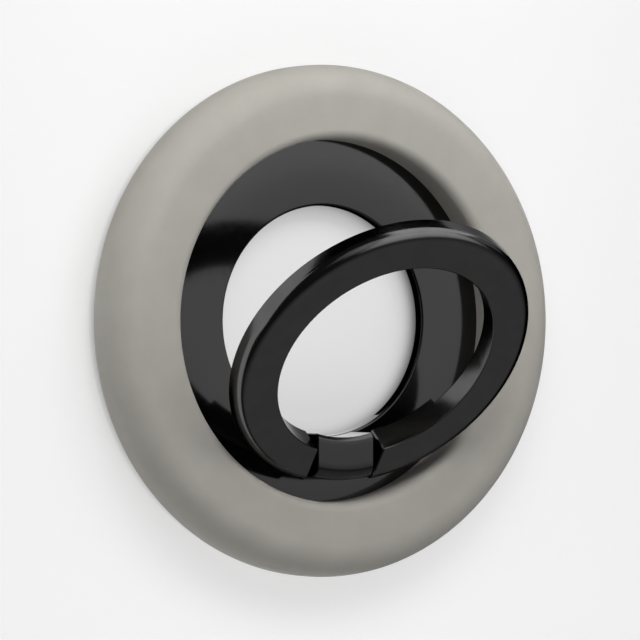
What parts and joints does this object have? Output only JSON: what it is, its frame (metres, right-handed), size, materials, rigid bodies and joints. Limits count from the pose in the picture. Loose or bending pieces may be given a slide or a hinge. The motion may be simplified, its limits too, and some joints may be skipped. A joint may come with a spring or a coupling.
{
  "type": "magnetic phone ring holder",
  "caption": "Soft round magnetic holder for the back of a phone, with a black finger ring on a friction hinge that folds into its recess and props the phone up.",
  "frame": {"origin": "centre of the face that meets the phone", "axes": "+Z out of the phone's back, +Y towards the phone's top, hinge on the -Y side"},
  "size_m": [0.0588, 0.0588, 0.0274],
  "materials": {
    "silicone": "matte taupe silicone",
    "gloss_black": "polished black coating",
    "satin_black": "smooth black coating, satin gloss",
    "black_plastic": "moulded, fine matte",
    "pad_rubber": "soft matte",
    "plain_steel": "plain steel",
    "black_steel": "blackened steel",
    "nickel": "nickel plate"
  },
  "bodies": {
    "base": {"silicone_cover": "silicone", "base_plate": "gloss_black", "back_cover": "black_plastic", "back_pad": "pad_rubber", "magnet_tray": "black_plastic", "tray_cap": "black_plastic", "shunt_ring": "plain_steel", "magnet_01": "nickel", "magnet_02": "nickel", "magnet_03": "nickel", "magnet_04": "nickel", "magnet_05": "nickel", "magnet_06": "nickel", "magnet_07": "nickel", "magnet_08": "nickel", "magnet_09": "nickel", "magnet_10": "nickel", "magnet_11": "nickel", "magnet_12": "nickel", "magnet_13": "nickel", "magnet_14": "nickel", "magnet_15": "nickel", "magnet_16": "nickel", "hinge_block": "satin_black", "block_screws": "black_steel", "friction_washer_left": "black_steel", "friction_washer_right": "black_steel"},
    "ring": {"kickstand_ring": "satin_black", "hinge_pin": "plain_steel"}
  },
  "joints": [
    {"name": "ring_tilt", "type": "hinge", "parent": "base", "child": "ring", "pos_m": [0, -0.01575, 0.00535], "axis": [1, 0, 0], "range_deg": [-37.8, 52.2]}
  ]
}
